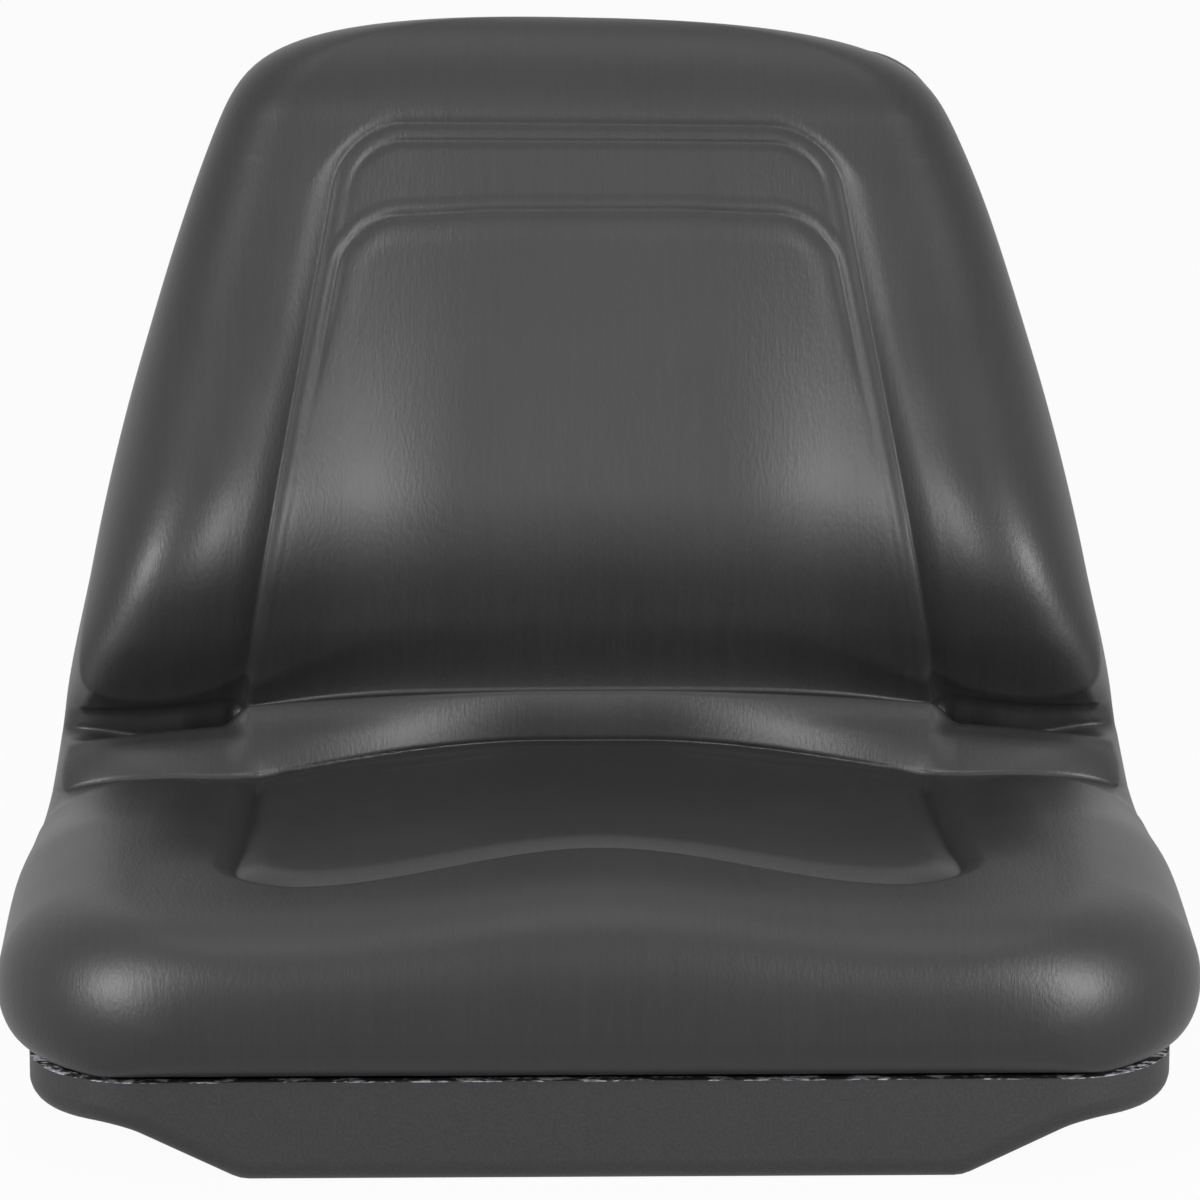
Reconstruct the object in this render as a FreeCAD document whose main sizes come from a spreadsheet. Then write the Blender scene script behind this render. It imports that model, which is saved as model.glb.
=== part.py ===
"""Ride on mower seat: a moulded bucket cushion on a one-piece ribbed plastic pan.

Millimetres, +Z up, the sitter faces -Y. The origin is the middle of the four mounting
holes, on the flat underside of the pan.
"""
import FreeCAD
import Part
import math
import os
import re
import Sketcher

Vector = FreeCAD.Vector
Rotation = FreeCAD.Rotation
Placement = FreeCAD.Placement

SIZES = [
    ("pan_half_width", 234.0),
    ("pan_wall", 3.5),
    ("rim_wall", 5.0),
    ("rim_height", 44.0),
    ("shelf_height", 24.0),
    ("shelf_width", 37.8),
    ("flank_angle", 26.0),
    ("base_edge_radius", 16.0),
    ("flank_top_radius", 45.0),
    ("edge_round", 10.0),
    ("front_corner_radius", 46.0),
    ("base_front", 168.0),
    ("base_rear", 128.0),
    ("bend_radius", 125.0),
    ("back_recline", 12.0),
    ("back_length", 285.0),
    ("back_rim_taper", 16.0),
    ("back_foot_inset", 15.0),
    ("back_mid_inset", 38.0),
    ("back_top_inset", 83.0),
    ("hip_curve_radius", 60.0),
    ("back_foot_curve_radius", 160.0),
    ("back_side_curve_radius", 420.0),
    ("back_top_corner", 42.0),
    ("rib_thickness", 3.0),
    ("bolt_spacing_across", 203.0),
    ("bolt_spacing_along", 203.0),
    ("bolt_hole_radius", 4.5),
    ("nut_across_flats", 13.0),
    ("nut_height", 6.5),
    ("nut_bore_radius", 3.4),
    ("nut_seat_height", 5.0),
    ("nut_clearance", 0.15),
    ("boss_radius", 12.0),
    ("switch_width", 24.0),
    ("switch_length", 32.0),
    ("switch_y", 50.0),
    ("switch_clearance", 0.25),
    ("plug_flange", 4.0),
    ("plug_thickness", 2.0),
    ("drain_radius", 5.0),
    ("drain_x", 55.0),
    ("drain_y", 130.0),
    ("clip_x", 62.0),
    ("seat_clip_front", 70.0),
    ("back_clip_up", 170.0),
    ("clip_head_radius", 8.0),
    ("clip_head_thickness", 2.2),
    ("clip_stem_width", 5.0),
    ("clip_stem_thickness", 3.0),
    ("clip_hole_radius", 3.4),
    ("clip_clearance", 0.4),
    ("clip_length", 24.0),
    ("clip_barb_width", 9.0),
    ("clip_barb_pitch", 6.0),
    ("clip_barb_length", 5.0),
    ("clip_recess_radius", 10.5),
    ("cushion_side_overhang", 13.5),
    ("cushion_overhang", 14.0),
    ("cushion_corner", 75.0),
    ("rim_gap", 3.0),
    ("bend_clearance", 0.3),
    ("back_cushion_length", 298.0),
    ("pommel_height", 123.0),
    ("seat_rear_height", 97.0),
    ("thigh_valley", 11.0),
    ("seat_bolster_height", 110.0),
    ("seat_bolster_width", 99.5),
    ("back_bolster_foot_width", 72.0),
    ("back_bolster_top_width", 29.0),
    ("lumbar_thickness", 91.0),
    ("back_top_thickness", 72.0),
    ("front_roll", 62.0),
    ("top_roll", 44.0),
    ("seat_edge_roll", 54.0),
    ("back_edge_roll", 44.0),
    ("seat_edge_swell", 24.0),
    ("back_edge_swell", 14.0),
    ("back_bolster_foot", 62.0),
    ("back_bolster_straight", 30.0),
    ("bucket_wrap", 55.0),
]
ALIASES = dict(SIZES)

doc = FreeCAD.newDocument("ride_on_mower_seat")
sheet = doc.addObject("Spreadsheet::Sheet", "Sizes")
for row, (alias, number) in enumerate(SIZES, start=1):
    sheet.set("A%d" % row, alias)
    sheet.set("B%d" % row, str(number))
    sheet.setAlias("B%d" % row, alias)
doc.recompute()


def bound(text):
    """An expression on the sheet's aliases, as other objects write it."""
    def named(match):
        word = match.group()
        return "Sizes." + word if word in ALIASES else word

    return re.sub(r"[a-z][a-z_]+", named, text)


def size(text):
    """The number that an expression on the sheet's aliases gives now."""
    probe = doc.getObject("Probe") or doc.addObject("App::FeaturePython", "Probe")
    result = probe.evalExpression(bound(text))
    return float(getattr(result, "Value", result))


def bind(item, **expressions):
    """Bind properties to the sheet; a double underscore stands for a dot."""
    for path, text in expressions.items():
        item.setExpression(path.replace("__", "."), bound(text))
    return item


def add(kind, name, **expressions):
    return bind(doc.addObject(kind, name), **expressions)


def boolean(kind, name, base, tool):
    item = doc.addObject(kind, name)
    item.Base = base
    item.Tool = tool
    return item


def fuse(name, shapes):
    item = doc.addObject("Part::MultiFuse", name)
    item.Shapes = shapes
    return item


def corner_sketch(name, corners, placement):
    """A closed sketch of straight runs; a corner is (x, y) or (x, y, radius), each an expression."""
    sketch = doc.addObject("Sketcher::SketchObject", name)
    sketch.Placement = placement
    points = [Vector(size(c[0]), size(c[1]), 0) for c in corners]
    count = len(points)
    starts = list(points)
    ends = list(points)
    arcs = {}
    for i, corner in enumerate(corners):
        if len(corner) < 3:
            continue
        radius = size(corner[2])
        to_last = (points[i - 1] - points[i]).normalize()
        to_next = (points[(i + 1) % count] - points[i]).normalize()
        half = to_last.getAngle(to_next) / 2
        reach = radius / math.tan(half)
        inward = (to_last + to_next).normalize()
        centre = points[i] + inward * (radius / math.sin(half))
        ends[i] = points[i] + to_last * reach
        starts[i] = points[i] + to_next * reach
        turns_left = to_last.cross(to_next).z < 0
        arcs[i] = (ends[i], centre - inward * radius, starts[i], turns_left)
    lines = []
    for i in range(count):
        lines.append(sketch.addGeometry(Part.LineSegment(starts[i], ends[(i + 1) % count])))
    for i, corner in enumerate(corners):
        before = lines[i - 1]
        after = lines[i]
        if i in arcs:
            first, middle, last, turns_left = arcs[i]
            arc = sketch.addGeometry(Part.Arc(first, middle, last))
            into, out = (1, 2) if turns_left else (2, 1)
            sketch.addConstraint(Sketcher.Constraint("Tangent", before, 2, arc, into))
            sketch.addConstraint(Sketcher.Constraint("Tangent", arc, out, after, 1))
            radius_at = sketch.addConstraint(Sketcher.Constraint("Radius", arc, size(corner[2])))
            sketch.setExpression("Constraints[%d]" % radius_at, bound(corner[2]))
            held = sketch.addGeometry(Part.Point(points[i]), True)
            sketch.addConstraint(Sketcher.Constraint("PointOnObject", held, 1, before))
            sketch.addConstraint(Sketcher.Constraint("PointOnObject", held, 1, after))
            end = (held, 1)
        else:
            sketch.addConstraint(Sketcher.Constraint("Coincident", before, 2, after, 1))
            end = (after, 1)
        for axis, text in (("DistanceX", corner[0]), ("DistanceY", corner[1])):
            at = sketch.addConstraint(Sketcher.Constraint(axis, -1, 1, end[0], end[1], size(text)))
            sketch.setExpression("Constraints[%d]" % at, bound(text))
    return sketch


def both_sides(corners):
    """The corners of the right half, bottom to top, with their mirror images."""
    left = [("-(%s)" % c[0],) + tuple(c[1:]) for c in reversed(corners)]
    return corners + left


UPRIGHT = Rotation(Vector(1, 0, 0), 90)
BEND = 90 - size("back_recline")
BEND_TURN = Rotation(Vector(1, 0, 0), BEND)


def on_back(along, depth, across=0.0):
    """The place on the back at a height along it and a depth in from its outer face."""
    radius = size("bend_radius")
    arm = Vector(across, 0, depth - radius)
    start = BEND_TURN.multVec(arm)
    run = BEND_TURN.multVec(Vector(0, along, 0))
    return Vector(0, size("base_rear"), radius) + start + run


def swept_form(name, section, inset):
    """A section swept along seat, bend and back, trimmed to the pan's outline less an inset."""
    at_front = Placement(Vector(0, -size("base_front"), 0), UPRIGHT)
    at_bend = Placement(Vector(0, size("base_rear"), 0), UPRIGHT)
    at_back = Placement(on_back(0, 0), BEND_TURN.multiply(UPRIGHT))
    seat = add("Part::Extrusion", name + "_seat", LengthFwd="base_front + base_rear")
    seat.Base = corner_sketch(name + "_seat_section", section, at_front)
    back = add("Part::Extrusion", name + "_back", LengthFwd="back_length + 60")
    back.Base = corner_sketch(name + "_back_section", section, at_back)
    for run in (seat, back):
        run.DirMode = "Normal"
        run.Reversed = True
        run.Solid = True
    turn = add("Part::Revolution", name + "_bend", Angle="90 - back_recline", Base__y="base_rear",
               Base__z="bend_radius")
    turn.Source = corner_sketch(name + "_bend_section", section, at_bend)
    turn.Axis = Vector(1, 0, 0)
    turn.Solid = True
    whole = fuse(name + "_sweep", [seat, turn, back])

    half = "pan_half_width - %s" % inset
    plan = add("Part::Extrusion", name + "_plan", LengthFwd="bend_radius + back_length + 100")
    plan.Base = corner_sketch(name + "_plan_outline", both_sides([
        (half, "-base_front + %s" % inset, "front_corner_radius - %s" % inset),
        (half, "base_rear + bend_radius + back_length"),
    ]), Placement(Vector(0, 0, -20), Rotation()))
    plan.Dir = Vector(0, 0, 1)
    plan.Solid = True

    top = "bend_radius * (1 - sin(back_recline)) + back_length * cos(back_recline) - %s" % inset
    face = add("Part::Extrusion", name + "_face", LengthFwd="base_front + base_rear + 400")
    face.Base = corner_sketch(name + "_face_outline", both_sides([
        (half, "-20"),
        (half, "rim_height + 6", "hip_curve_radius"),
        (half + " - back_foot_inset", "bend_radius", "back_foot_curve_radius"),
        (half + " - back_mid_inset", "(bend_radius + %s) / 2" % top, "back_side_curve_radius"),
        (half + " - back_top_inset", top, "back_top_corner - %s" % inset),
    ]), Placement(Vector(0, -size("base_front") - 50, 0), UPRIGHT))
    face.DirMode = "Normal"
    face.Reversed = True
    face.Solid = True
    trimmed = boolean("Part::Common", name + "_in_plan", whole, plan)
    return boolean("Part::Common", name + "_form", trimmed, face)


def depth_of(point):
    """Depth of a point in from the pan's outer face."""
    radius = size("bend_radius")
    behind = point.y - size("base_rear")
    below = radius - point.z
    angle = min(math.radians(BEND), max(0.0, math.atan2(behind, below)))
    return radius - (behind * math.sin(angle) + below * math.cos(angle))


def rounded(name, form, radius):
    """Round the edges between a form's walls and its outer face, not those of its rim."""
    doc.recompute()
    shape = form.Shape
    round_by = size(radius)
    edges = []
    for number, edge in enumerate(shape.Edges, start=1):
        point = edge.valueAt((edge.FirstParameter + edge.LastParameter) / 2)
        normals = []
        for face in shape.ancestorsOfType(edge, Part.Face):
            normals.append(face.normalAt(*face.Surface.parameter(point)))
        if len(normals) == 2 and math.degrees(normals[0].getAngle(normals[1])) > 40:
            if depth_of(point) < size("rim_height") - 1:
                edges.append((number, round_by, round_by))
    item = doc.addObject("Part::Fillet", name)
    item.Base = form
    item.Edges = edges
    return item


def cylinder(name, radius, low, high, place):
    """An upright cylinder from one depth to another, moved to a place on the pan."""
    item = add("Part::Cylinder", name, Radius=radius, Height="%s - (%s)" % (high, low))
    item.Placement = place.multiply(Placement(Vector(0, 0, size(low)), Rotation()))
    return item


def pan_places():
    """Where the bolts and the clips stand: placements whose +Z runs into the cushion."""
    bolts = []
    across = size("bolt_spacing_across") / 2
    along = size("bolt_spacing_along") / 2
    for x in (-across, across):
        for y in (-along, along):
            bolts.append(Placement(Vector(x, y, 0), Rotation()))
    clips = []
    for x in (-size("clip_x"), size("clip_x")):
        clips.append(Placement(Vector(x, -size("seat_clip_front"), 0), Rotation()))
        clips.append(Placement(on_back(size("back_clip_up"), 0, x), BEND_TURN))
    return bolts, clips


SHELF_IN = "shelf_height + pan_wall"
FOAM_FLOOR = SHELF_IN + " + bend_clearance"
FLANK_TOP = "(pan_half_width - shelf_width)"
BASE_HALF = "(%s - shelf_height / tan(flank_angle))" % FLANK_TOP
OFFSET = "pan_wall * tan(flank_angle / 2)"


def build_pan():
    """The shell: an outer sweep less an inner one, with ribs, bosses, recesses and holes."""
    outer = both_sides([
        (BASE_HALF, "0", "base_edge_radius"),
        (FLANK_TOP, "shelf_height", "flank_top_radius"),
        ("pan_half_width", "shelf_height"),
        ("pan_half_width", "rim_height"),
    ])
    inner = both_sides([
        (BASE_HALF + " - " + OFFSET, "pan_wall", "base_edge_radius - pan_wall"),
        ("%s - %s" % (FLANK_TOP, OFFSET), SHELF_IN, "flank_top_radius + pan_wall"),
        ("pan_half_width - rim_wall", SHELF_IN),
        ("pan_half_width - rim_wall", "rim_height + 5"),
    ])
    outer_form = rounded("pan_outside", swept_form("pan_outer", outer, "0"), "edge_round")
    inner_form = swept_form("pan_inner", inner, "rim_wall")
    shell = boolean("Part::Cut", "pan_shell", outer_form, inner_form)

    lean = math.degrees(math.atan(size("back_rim_taper / back_length")))
    wedge = add("Part::Box", "back_rim_wedge", Length="2 * pan_half_width + 80", Width="back_length + 80",
                Height="rim_height + 60")
    wedge.Placement = Placement(on_back(0, size("rim_height"), -size("pan_half_width") - 40),
                                BEND_TURN.multiply(Rotation(Vector(1, 0, 0), -lean)))
    shell = boolean("Part::Cut", "pan_trimmed", shell, wedge)

    solids = [shell] + pan_ribs()
    cuts = []
    bolts, clips = pan_places()
    for i, place in enumerate(bolts):
        solids.append(cylinder("bolt_boss_%d" % i, "boss_radius", "1", FOAM_FLOOR, place))
        cuts.append(cylinder("bolt_hole_%d" % i, "bolt_hole_radius", "-1", "nut_seat_height + 1", place))
        pocket = add("Part::Prism", "nut_pocket_%d" % i,
                     Circumradius="(nut_across_flats / 2 + nut_clearance) / cos(30)",
                     Height=FOAM_FLOOR + " - nut_seat_height + 1")
        pocket.Polygon = 6
        pocket.Placement = place.multiply(Placement(Vector(0, 0, size("nut_seat_height")), Rotation()))
        cuts.append(pocket)
    for i, place in enumerate(clips):
        solids.append(cylinder("clip_boss_%d" % i, "clip_recess_radius + pan_wall", "1", FOAM_FLOOR, place))
        cuts.append(cylinder("clip_recess_%d" % i, "clip_recess_radius", "-1", "shelf_height", place))
        cuts.append(cylinder("clip_hole_%d" % i, "clip_hole_radius", "shelf_height - 1", FOAM_FLOOR + " + 1",
                             place))
    for i, side in enumerate((-1, 1)):
        drain = Placement(Vector(side * size("drain_x"), -size("drain_y"), 0), Rotation())
        cuts.append(cylinder("drain_hole_%d" % i, "drain_radius", "-1", "pan_wall + 1", drain))
    cuts.append(block("switch_opening", "-switch_width / 2", "switch_width / 2",
                      "switch_y - switch_length / 2", "switch_y + switch_length / 2", "-1", "pan_wall + 1"))
    return boolean("Part::Cut", "seat_pan", fuse("pan_with_bosses", solids), fuse("pan_holes", cuts))


def block(name, left, right, front, rear, low, high):
    """A box between six expressions."""
    item = add("Part::Box", name, Length="%s - (%s)" % (right, left), Width="%s - (%s)" % (rear, front),
               Height="%s - (%s)" % (high, low), Placement__Base__x=left, Placement__Base__y=front,
               Placement__Base__z=low)
    return item


def pan_ribs():
    """Ribs between the bolt bosses that carry the cushion over the pan's well."""
    ribs = []
    half = "rib_thickness / 2"
    for i, side in enumerate(("-bolt_spacing_across / 2", "bolt_spacing_across / 2")):
        ribs.append(block("long_rib_%d" % i, "%s - %s" % (side, half), "%s + %s" % (side, half),
                          "edge_round - base_front", "base_rear", "pan_wall - 1", FOAM_FLOOR))
    for i, side in enumerate(("-bolt_spacing_along / 2", "bolt_spacing_along / 2")):
        ribs.append(block("cross_rib_%d" % i, "-" + BASE_HALF, BASE_HALF, "%s - %s" % (side, half),
                          "%s + %s" % (side, half), "pan_wall - 1", FOAM_FLOOR))
    return ribs


def build_nuts():
    """Four M8 nuts with chamfered corners, each on the floor of its boss."""
    corner = "nut_across_flats / 2 / cos(30)"
    prism = add("Part::Prism", "nut_prism", Circumradius=corner, Height="nut_height")
    prism.Polygon = 6
    barrel = add("Part::Cylinder", "nut_barrel", Radius=corner, Height="nut_height")
    doc.recompute()
    turned = doc.addObject("Part::Chamfer", "nut_turned")
    turned.Base = barrel
    bevel = size("nut_across_flats") * 0.06
    turned.Edges = [(1, bevel, bevel), (3, bevel, bevel)]
    hexagon = boolean("Part::Common", "nut_hexagon", prism, turned)
    bore = add("Part::Cylinder", "nut_bore", Radius="nut_bore_radius", Height="nut_height + 2")
    bore.Placement.Base = Vector(0, 0, -1)
    nut = boolean("Part::Cut", "nut", hexagon, bore)
    lift = Placement(Vector(0, 0, size("nut_seat_height")), Rotation())
    return copies("captive_nuts", nut, [place.multiply(lift) for place in pan_places()[0]])


def build_clips():
    """Push-in clips: a head in the pan's recess and a flat fir-tree stem in the cushion."""
    head = add("Part::Cylinder", "clip_head", Radius="clip_head_radius", Height="clip_head_thickness",
               Placement__Base__z="-clip_head_thickness")
    profile = [("clip_stem_width / 2", "-clip_head_thickness / 2")]
    for barb in range(3):
        level = "pan_wall + clip_barb_length / 3 + %d * clip_barb_pitch" % barb
        profile.append(("clip_stem_width / 2", level))
        profile.append(("clip_barb_width / 2", level))
        profile.append(("clip_stem_width / 2", level + " + clip_barb_length"))
    profile.append(("clip_stem_width / 4", "clip_length"))
    stem = add("Part::Extrusion", "clip_stem", LengthFwd="clip_stem_thickness")
    stem.Base = corner_sketch("clip_stem_profile", both_sides(profile), Placement(Vector(), UPRIGHT))
    stem.DirMode = "Normal"
    stem.Symmetric = True
    stem.Solid = True
    clip = boolean("Part::Fuse", "clip", head, stem)
    lift = Placement(Vector(0, 0, size("shelf_height")), Rotation())
    return copies("cushion_clips", clip, [place.multiply(lift) for place in pan_places()[1]])


def copies(name, source, places):
    """One node of separate equal solids."""
    doc.recompute()
    solids = []
    for place in places:
        solid = source.Shape.copy()
        solid.Placement = place
        solids.append(solid)
    item = doc.addObject("Part::Feature", name)
    item.Shape = Part.makeCompound(solids)
    return item


def build_plug():
    """The blanking plug of the switch opening: its flange lies on the pan's floor."""
    half_wide = "(switch_width / 2 - switch_clearance)"
    half_long = "(switch_length / 2 - switch_clearance)"
    body = block("plug_body", "-" + half_wide, half_wide, "switch_y - " + half_long,
                 "switch_y + " + half_long, "0.5", "pan_wall + plug_thickness")
    rim_wide = "(switch_width / 2 + plug_flange)"
    rim_long = "(switch_length / 2 + plug_flange)"
    rim = block("plug_rim", "-" + rim_wide, rim_wide, "switch_y - " + rim_long, "switch_y + " + rim_long,
                "pan_wall", "pan_wall + plug_thickness")
    return boolean("Part::Fuse", "switch_plug", body, rim)


def blend(low, high, at):
    """0 below low, 1 above high, smooth between."""
    t = min(1.0, max(0.0, (at - low) / (high - low)))
    return t * t * (3 - 2 * t)


def table(pairs, at):
    """A smooth curve through (place, value) pairs."""
    if at <= pairs[0][0]:
        return pairs[0][1]
    slopes = []
    for i in range(len(pairs)):
        low = pairs[max(0, i - 1)]
        high = pairs[min(len(pairs) - 1, i + 1)]
        slopes.append((high[1] - low[1]) / (high[0] - low[0]))
    for i in range(len(pairs) - 1):
        (a, start), (b, end) = pairs[i], pairs[i + 1]
        if at <= b:
            w = b - a
            t = (at - a) / w
            return (start * (1 + 2 * t) * (1 - t) ** 2 + slopes[i] * w * t * (1 - t) ** 2
                    + end * t * t * (3 - 2 * t) - slopes[i + 1] * w * t * t * (1 - t))
    return pairs[-1][1]


def climb(low, high, at):
    """Rise of a slope that grows evenly from none at low to full at high."""
    t = min(high - low, max(0.0, at - low))
    return t * t / (2 * (high - low)) + max(0.0, at - high)


def quarter(at, reach):
    """Height of a quarter round of that reach, from 0 at its foot to 1 past it."""
    t = min(1.0, max(0.0, at / reach))
    return math.sqrt(1 - (1 - t) ** 2)


BOLSTER_SLOPE = math.tan(math.radians(20))


class Cushion:
    """The cushion's surface over the length of its path and across it."""

    def __init__(self):
        self.front = size("base_front")
        self.seat = size("base_front + base_rear")
        self.radius = size("bend_radius")
        self.turn = math.radians(BEND)
        self.bend_end = self.seat + self.radius * self.turn
        self.top = self.bend_end + size("back_cushion_length")
        self.start = -size("cushion_overhang")
        self.wide = size("pan_half_width + cushion_side_overhang")
        self.foot = size("pan_half_width - back_foot_inset + cushion_overhang - 1")
        self.narrow = size("pan_half_width - back_top_inset + cushion_overhang - 21")
        self.floor = size("rim_height + rim_gap")
        pommel = size("pommel_height")
        rear = size("seat_rear_height")
        lumbar = size("lumbar_thickness")
        top = size("back_top_thickness")
        seat = self.seat
        back = self.bend_end
        long = size("back_cushion_length")
        # depth of the middle line: pommel, seat, crease, roll, lumbar swell, top roll
        self.middle = [(self.start, pommel - 3), (0.25 * seat, pommel), (0.37 * seat, pommel - 2),
                       (0.57 * seat, rear + 12), (0.77 * seat, rear + 4), (seat, rear),
                       (seat + 0.33 * (back - seat), rear - 5), (seat + 0.66 * (back - seat), rear - 20),
                       (seat + 0.82 * (back - seat), rear - 17), (back, rear - 20),
                       (back + 0.1 * long, lumbar - 7), (back + 0.26 * long, lumbar),
                       (back + 0.5 * long, lumbar - 6), (back + 0.72 * long, top + 5),
                       (back + 0.9 * long, top + 1), (self.top, top)]

    def width(self, s):
        """Half width of the outline."""
        if s <= self.bend_end:
            taper = table([(0.2 * self.seat, self.wide), (self.seat, self.wide - 8),
                           (self.bend_end, self.foot)], s)
            corner = size("cushion_corner")
            return taper - corner * (1 - quarter(s - self.start, corner))
        share = (s - self.bend_end) / size("back_cushion_length")
        side = self.foot - (self.foot - self.narrow) * (0.42 * share + 0.58 * share * share)
        u = max(0.0, (share - 0.755) / 0.245)
        return side * max(0.0, 1 - u ** 6) ** 0.4

    def panel(self, s):
        """Half width of the middle panel, where the groove runs."""
        on_seat = self.wide - size("seat_bolster_width")
        if s <= self.seat:
            return on_seat
        foot = self.foot - size("back_bolster_foot_width")
        share = (s - self.bend_end) / size("back_cushion_length")
        if share <= 0:
            return on_seat + (foot - on_seat) * blend(self.seat, self.bend_end, s)
        return foot - (foot - self.narrow + size("back_bolster_top_width")) * share / 0.75

    def wrap(self, x, s):
        """How far the bolsters come forward of the middle."""
        back = self.bend_end
        share = table([(0.3 * self.seat, 0.0), (0.85 * self.seat, 0.85), (self.seat, 1.0), (back, 1.0),
                       (back + 60, 0.42), (back + 120, 0.2), (self.top - 40, 0.1), (self.top, 0.05)], s)
        return size("bucket_wrap") * share * min(1.2, abs(x) / (0.83 * self.wide)) ** 2.2

    def crest(self, s):
        """How far the crest of the back's bolster lies outside the panel."""
        level = min(s, self.top - 1.5 * size("top_roll"))
        return 0.425 * max(0.0, self.width(level) - self.panel(s))

    def edge(self, s):
        """Width of the roll from the crest of the bolsters to the outline."""
        wide = self.width(s)
        on_back = min(size("back_edge_roll"), max(0.2 * wide, wide - self.panel(s) - self.crest(s)))
        back = blend(0.8 * self.seat, self.bend_end, s)
        return min(size("seat_edge_roll") * (1 - back) + on_back * back, 0.36 * wide)

    def bolster(self, x, s):
        """Rise of the back's bolsters: a slope over the panel's edge that rounds into a crest."""
        beside = x - self.panel(s)
        crest = self.crest(s)
        share = table([(self.seat, 0.3), (self.bend_end, 0.4), (self.bend_end + 70, 1.0),
                       (self.bend_end + 170, 0.85), (self.top - 60, 0.6), (self.top, 0.35)], s)
        rise = climb(-size("back_bolster_foot"), -size("back_bolster_straight"), beside)
        return BOLSTER_SLOPE * share * (rise - climb(0.5 * crest, crest, beside))

    def depth(self, x, s):
        """Depth of the sitting face above the pan's outer face, before the edges roll off."""
        x = abs(x)
        middle = table(self.middle, s)
        panel = self.panel(s)
        on_seat = 1 - blend(0.8 * self.seat, self.bend_end, s)
        front = 1 - 0.6 * blend(0.35 * self.seat, 0.8 * self.seat, s)
        valley = size("thigh_valley") * blend(0, 0.85, x / panel) * front
        crest = size("seat_bolster_height") - 8 * blend(0.6 * self.seat, self.seat, s)
        outside = blend(panel - 6, panel + 40, x)
        seat = (middle - valley) * (1 - outside) + crest * outside
        return seat * on_seat + (middle + self.bolster(x, s)) * (1 - on_seat)

    def point(self, s, x, depth, wrap):
        """Place along the path, across it and in depth."""
        if s <= self.seat:
            y, z = s - self.front, depth
        else:
            angle = min((s - self.seat) / self.radius, self.turn)
            arm = self.radius - depth
            past = max(0.0, s - self.bend_end)
            y = self.seat - self.front + arm * math.sin(angle) + past * math.cos(self.turn)
            z = self.radius - arm * math.cos(angle) + past * math.sin(self.turn)
        return Vector(x, y - wrap, z)

    def floor_at(self, s):
        """Depth of the underside, over the pan's rim."""
        share = max(0.0, s - self.bend_end) / size("back_length")
        return self.floor - size("back_rim_taper") * share

    def section(self, s):
        """Poles of the closed curve around the cushion at s."""
        wide = self.width(s)
        edge = self.edge(s)
        under = min(1.3 * size("cushion_overhang"), wide * 0.2)
        panel = min(self.panel(s), (wide - edge) * 0.82)
        floor = self.floor_at(s)
        swell = size("seat_edge_swell")
        bulge = floor + swell + (size("back_edge_swell") - swell) * blend(self.seat, self.bend_end, s)
        overhang = size("cushion_overhang")
        roll = min(quarter(s - self.start, size("front_roll")), quarter(self.top - s, size("top_roll")))
        drop = min(quarter(s - self.start, overhang), quarter(self.top - s, overhang))

        def upper(x):
            return bulge + (self.depth(x, s) - bulge) * roll

        crest = upper(wide - edge)
        lower = bulge - (bulge - floor) * drop
        across = [(0.0, lower), (0.7 * (wide - under), lower), (wide - under, lower)]
        for degrees in (-50, -10):
            a = math.radians(degrees)
            out = wide - under + 1.1 * under * math.cos(a)
            across.append((out, bulge + 1.05 * (bulge - lower) * math.sin(a)))
        for degrees in (28, 62, 90):
            a = math.radians(degrees)
            out = wide - edge + 1.04 * edge * math.cos(a)
            across.append((out, bulge + 1.04 * (crest - bulge) * math.sin(a)))
        rest = wide - edge - panel
        for x in (panel + rest * 0.5, panel, panel * 0.68, panel * 0.34, 0.0):
            across.append((x, upper(x)))
        loop = across + [(-x, d) for x, d in reversed(across[1:-1])]
        ends = min(s - self.start, self.top - s)
        poles = []
        for x, d in loop:
            lifted = min(1.0, max(0.0, (d - floor) / 30.0)) if ends > 1 else 0.0
            poles.append(self.point(s, x, d, self.wrap(x, s) * lifted))
        return poles

    def sections(self):
        """Section curves from the front of the seat to the top of the back."""
        seat = self.seat
        bend = self.bend_end - seat
        long = size("back_cushion_length")
        places = [self.start + d for d in (0.3, 1.4, 4.0, 9.0, 17.0, 28.0, 44.0, 64.0, 86.0)]
        places += [seat * f for f in (0.35, 0.45, 0.56, 0.67, 0.78, 0.89)]
        places += [seat + bend * f / 8 for f in range(9)]
        places += [self.bend_end + long * f / 20 for f in range(1, 18)]
        places += [self.top - d for d in (30.0, 20.0, 12.0, 6.0, 2.0, 0.3)]
        return [self.section(s) for s in places]


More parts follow.
